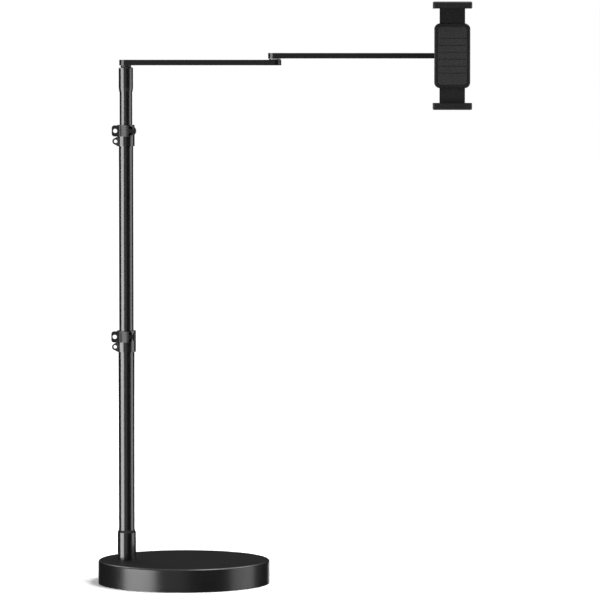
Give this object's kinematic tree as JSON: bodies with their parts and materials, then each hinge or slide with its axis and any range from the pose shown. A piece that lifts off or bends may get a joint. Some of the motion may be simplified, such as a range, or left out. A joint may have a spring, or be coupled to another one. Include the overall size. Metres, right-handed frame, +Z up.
{
  "type": "tablet floor stand",
  "caption": "Adjustable tablet floor stand: weighted round base, telescopic mast with flip locks, folding flat arm and a tilting sprung tablet holder.",
  "frame": {"origin": "on the floor, under the middle of the round base", "axes": "+Z up along the mast, +X from the mast along the unfolded arms to the holder, -Y the way the tablet faces"},
  "size_m": [0.6497, 0.3, 1.0144],
  "materials": {
    "base_paint": "satin black powder coat",
    "cast_ballast": "bare casting, dark",
    "plate_paint": "flat black paint",
    "mat_rubber": "matt black rubber",
    "mast_paint": "semi gloss black",
    "clamp_plastic": "satin black plastic",
    "bolt_steel": "bright zinc plated steel",
    "black_screw": "blackened steel",
    "slide_plastic": "pale nylon",
    "shoe_plastic": "dark grey nylon",
    "washer_grey": "light grey metal",
    "arm_paint": "satin black",
    "cap_plastic": "satin black plastic",
    "yoke_paint": "satin black",
    "holder_plastic": "satin black plastic",
    "pad_rubber": "matt black rubber",
    "spring_steel": "spring steel"
  },
  "bodies": {
    "base": {"base_cover": "base_paint", "base_weight": "cast_ballast", "base_mat": "mat_rubber", "pole_bolt": "bolt_steel", "pole_socket": "mast_paint", "lower_tube": "mast_paint", "lower_clamp_collar": "clamp_plastic", "lower_clamp_pin": "bolt_steel", "lower_clamp_shoe": "shoe_plastic"},
    "lower_lever": {"lower_clamp_lever": "clamp_plastic"},
    "middle_mast": {"middle_tube": "mast_paint", "middle_tube_slider": "slide_plastic", "upper_clamp_collar": "clamp_plastic", "upper_clamp_pin": "bolt_steel", "upper_clamp_shoe": "shoe_plastic"},
    "upper_lever": {"upper_clamp_lever": "clamp_plastic"},
    "upper_mast": {"upper_tube": "mast_paint", "upper_tube_slider": "slide_plastic", "mast_head": "mast_paint", "swivel_washer": "shoe_plastic", "swivel_nut": "bolt_steel"},
    "arm_1": {"arm_1_swivel_end": "arm_paint", "swivel_cap": "cap_plastic", "arm_1_tube": "arm_paint", "arm_1_elbow_end": "arm_paint", "elbow_washer": "washer_grey", "elbow_bolt": "bolt_steel", "elbow_nut": "bolt_steel"},
    "arm_2": {"arm_2_elbow_end": "arm_paint", "elbow_cap": "cap_plastic", "arm_2_tube": "arm_paint", "arm_2_wrist_end": "arm_paint"},
    "wrist": {"wrist_yoke": "yoke_paint", "wrist_bolt": "black_screw", "wrist_nut": "black_screw", "tilt_bolt": "black_screw"},
    "tilt_knob": {"tilt_knob": "holder_plastic"},
    "tilt_head": {"tilt_block": "yoke_paint", "rotation_screw": "bolt_steel"},
    "holder": {"holder_back": "holder_plastic", "holder_cover": "holder_plastic", "holder_pad": "pad_rubber", "upper_jaw_spring": "spring_steel", "lower_jaw_spring": "spring_steel"},
    "upper_jaw": {"upper_jaw": "holder_plastic", "upper_jaw_pad": "pad_rubber"},
    "lower_jaw": {"lower_jaw": "holder_plastic", "lower_jaw_pad": "pad_rubber"}
  },
  "joints": [
    {"name": "lower_lever_swing", "type": "hinge", "parent": "base", "child": "lower_lever", "pos_m": [-0.08754, -0.01653, 0.432], "axis": [0, 0, 1], "range_deg": [0, 105]},
    {"name": "middle_slide", "type": "slide", "parent": "base", "child": "middle_mast", "axis": [0, 0, 1], "range_m": [-0.265, 0.04]},
    {"name": "upper_lever_swing", "type": "hinge", "parent": "middle_mast", "child": "upper_lever", "pos_m": [-0.08573, -0.01285, 0.7907], "axis": [0, 0, 1], "range_deg": [0, 105]},
    {"name": "upper_slide", "type": "slide", "parent": "middle_mast", "child": "upper_mast", "axis": [0, 0, 1], "range_m": [-0.045, 0.23]},
    {"name": "arm_swivel", "type": "hinge", "parent": "upper_mast", "child": "arm_1", "pos_m": [-0.1, 0, 0.909], "axis": [0, 0, 1], "continuous": true},
    {"name": "elbow_swivel", "type": "hinge", "parent": "arm_1", "child": "arm_2", "pos_m": [0.159, 0, 0.915], "axis": [0, 0, 1], "continuous": true},
    {"name": "wrist_swivel", "type": "hinge", "parent": "arm_2", "child": "wrist", "pos_m": [0.466, 0, 0.92115], "axis": [0, 0, 1], "range_deg": [-25, 180]},
    {"name": "tilt_knob_turn", "type": "hinge", "parent": "wrist", "child": "tilt_knob", "pos_m": [0.466, -0.03, 0.92115], "axis": [1, 0, 0], "continuous": true},
    {"name": "tilt", "type": "hinge", "parent": "wrist", "child": "tilt_head", "pos_m": [0.466, -0.03, 0.92115], "axis": [1, 0, 0], "range_deg": [-90, 90]},
    {"name": "holder_rotation", "type": "hinge", "parent": "tilt_head", "child": "holder", "pos_m": [0.466, -0.05, 0.92115], "axis": [0, -1, 0], "continuous": true},
    {"name": "upper_jaw_slide", "type": "slide", "parent": "holder", "child": "upper_jaw", "axis": [0, 0, 1], "range_m": [-0.024, 0.012], "deforming": ["upper_jaw_spring"]},
    {"name": "lower_jaw_slide", "type": "slide", "parent": "holder", "child": "lower_jaw", "axis": [0, 0, -1], "range_m": [-0.024, 0.012], "deforming": ["lower_jaw_spring"]}
  ]
}
